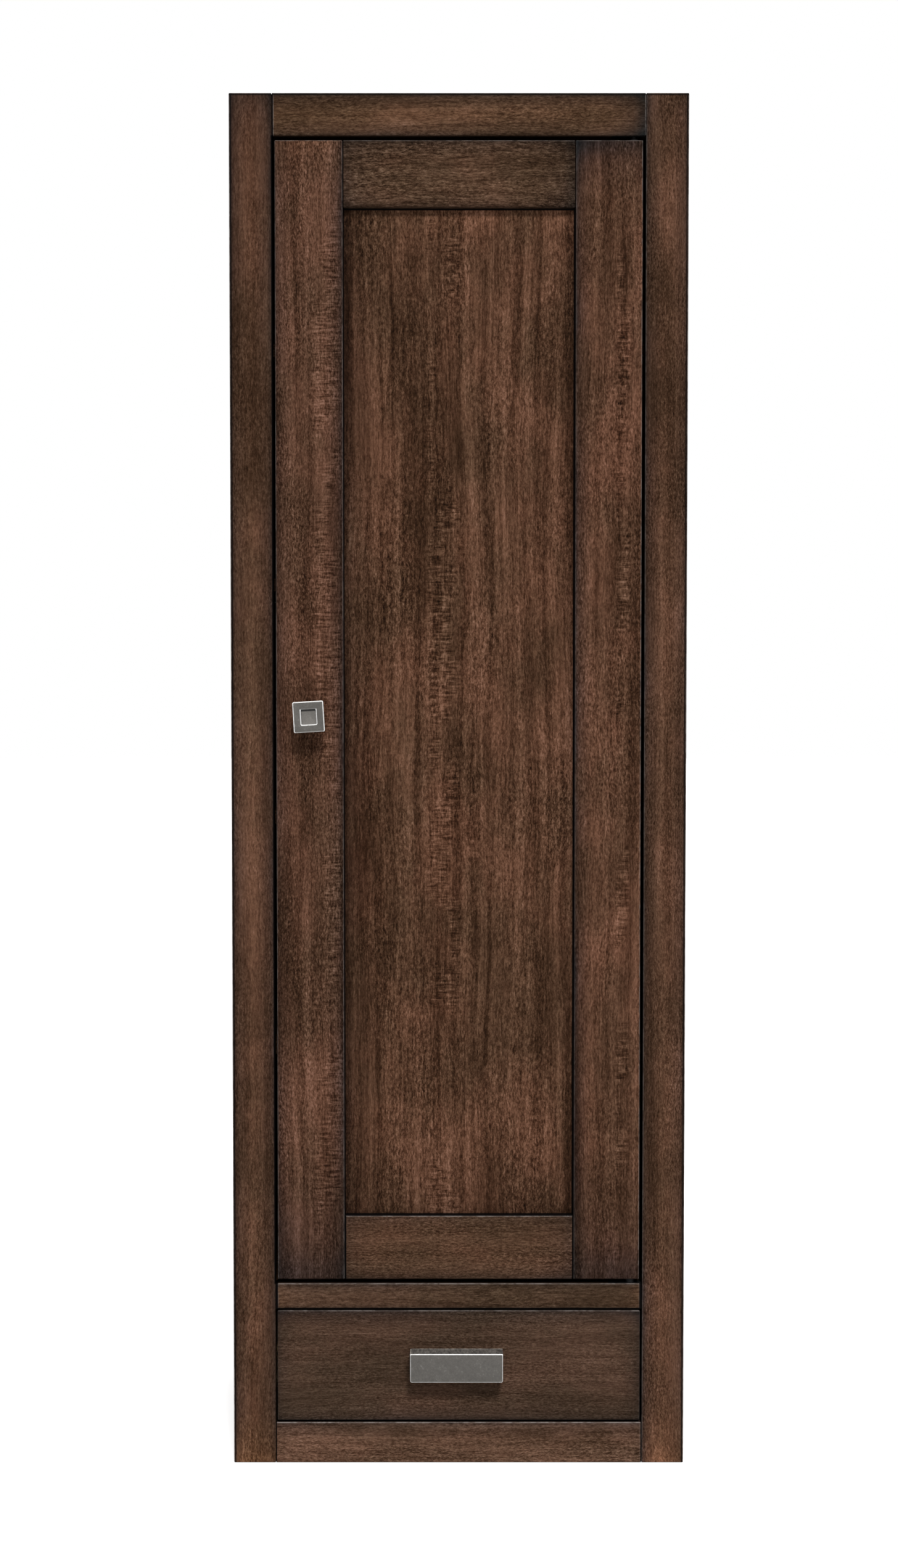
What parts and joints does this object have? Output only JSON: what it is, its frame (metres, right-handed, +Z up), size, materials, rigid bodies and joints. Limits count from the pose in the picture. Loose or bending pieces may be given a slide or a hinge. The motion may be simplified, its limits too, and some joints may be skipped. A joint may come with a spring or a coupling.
{
  "type": "tower hutch",
  "caption": "Tall framed wooden storage tower with an inset panel door over an inset drawer, a square knob, a cup pull and adjustable shelves inside.",
  "frame": {"origin": "on the floor, at the centre of the bounding box seen from above", "axes": "+X to the right of someone facing the door, +Y from the front to the back, +Z up"},
  "size_m": [0.61, 0.485, 1.84],
  "materials": {
    "stained_wood": "hardwood with a dark brown wiping stain, darker glaze at the edges and joints, satin lacquer",
    "stained_interior": "veneered plywood with one coat of the brown stain, flat lacquer",
    "clear_wood": "clear lacquered hardwood",
    "drawer_plywood": "clear lacquered birch plywood",
    "pewter": "zinc casting, tumbled dark pewter plate with edges worn bright",
    "zinc_steel": "zinc plated steel",
    "black_steel": "steel with a dull black oxide finish",
    "black_nylon": "black nylon",
    "catch_plastic": "brown moulded plastic",
    "magnet": "dull dark ferrite",
    "glide_plastic": "black nylon"
  },
  "bodies": {
    "cabinet": {"left_stile": "stained_wood", "right_stile": "stained_wood", "top_rail": "stained_wood", "middle_rail": "stained_wood", "bottom_rail": "stained_wood", "left_side_panel": "stained_wood", "right_side_panel": "stained_wood", "top_panel": "stained_wood", "deck_panel": "stained_interior", "bottom_panel": "stained_interior", "back_panel": "stained_interior", "hanging_rail": "stained_interior", "rear_base_rail": "stained_interior", "door_stop_rail": "stained_interior", "left_runner_cleat": "clear_wood", "right_runner_cleat": "clear_wood", "shelf_1": "stained_interior", "shelf_2": "stained_interior", "shelf_3": "stained_interior", "shelf_4": "stained_interior", "shelf_pins": "zinc_steel", "frame_dowels": "clear_wood", "corner_blocks": "clear_wood", "glides": "glide_plastic", "back_screws": "zinc_steel", "pivot_plates": "black_steel", "pivot_pins": "black_steel", "thrust_washer": "black_nylon", "pivot_plate_screws": "black_steel", "catch_housings": "catch_plastic", "catch_magnets": "magnet", "catch_screws": "zinc_steel", "slide_outer_members": "zinc_steel", "slide_outer_screws": "zinc_steel"},
    "door": {"door_knob_stile": "stained_wood", "door_hinge_stile": "stained_wood", "door_top_rail": "stained_wood", "door_bottom_rail": "stained_wood", "door_panel": "stained_wood", "door_knob": "pewter", "door_knob_screw": "zinc_steel", "pivot_bushes": "black_nylon", "strike_plates": "zinc_steel", "strike_screws": "zinc_steel"},
    "drawer": {"drawer_face": "stained_wood", "drawer_box_front": "clear_wood", "drawer_left_side": "clear_wood", "drawer_right_side": "clear_wood", "drawer_back": "clear_wood", "drawer_bottom": "drawer_plywood", "drawer_pull": "pewter", "pull_screws": "zinc_steel", "face_screws": "zinc_steel", "slide_inner_members": "zinc_steel", "slide_inner_screws": "zinc_steel"},
    "slide_middles": {"slide_middle_members": "zinc_steel"},
    "outer_ball_cages": {"outer_ball_cages": "zinc_steel"},
    "inner_ball_cages": {"inner_ball_cages": "zinc_steel"}
  },
  "joints": [
    {"name": "door_hinge", "type": "hinge", "parent": "cabinet", "child": "door", "pos_m": [0.2325, -0.205, 1.0155], "axis": [0, 0, 1], "range_deg": [0, 110]},
    {"name": "drawer_slide", "type": "slide", "parent": "cabinet", "child": "drawer", "axis": [0, -1, 0], "range_m": [0, 0.38]},
    {"name": "slide_middle_travel", "type": "slide", "parent": "cabinet", "child": "slide_middles", "axis": [0, -1, 0], "range_m": [0, 0.191]},
    {"name": "outer_cage_travel", "type": "slide", "parent": "cabinet", "child": "outer_ball_cages", "axis": [0, -1, 0], "range_m": [0, 0.096]},
    {"name": "inner_cage_travel", "type": "slide", "parent": "cabinet", "child": "inner_ball_cages", "axis": [0, -1, 0], "range_m": [0, 0.286]}
  ],
  "couplings": [
    {"joint": "slide_middle_travel", "follows": "drawer_slide", "ratio": 0.5},
    {"joint": "outer_cage_travel", "follows": "drawer_slide", "ratio": 0.25},
    {"joint": "inner_cage_travel", "follows": "drawer_slide", "ratio": 0.75}
  ]
}
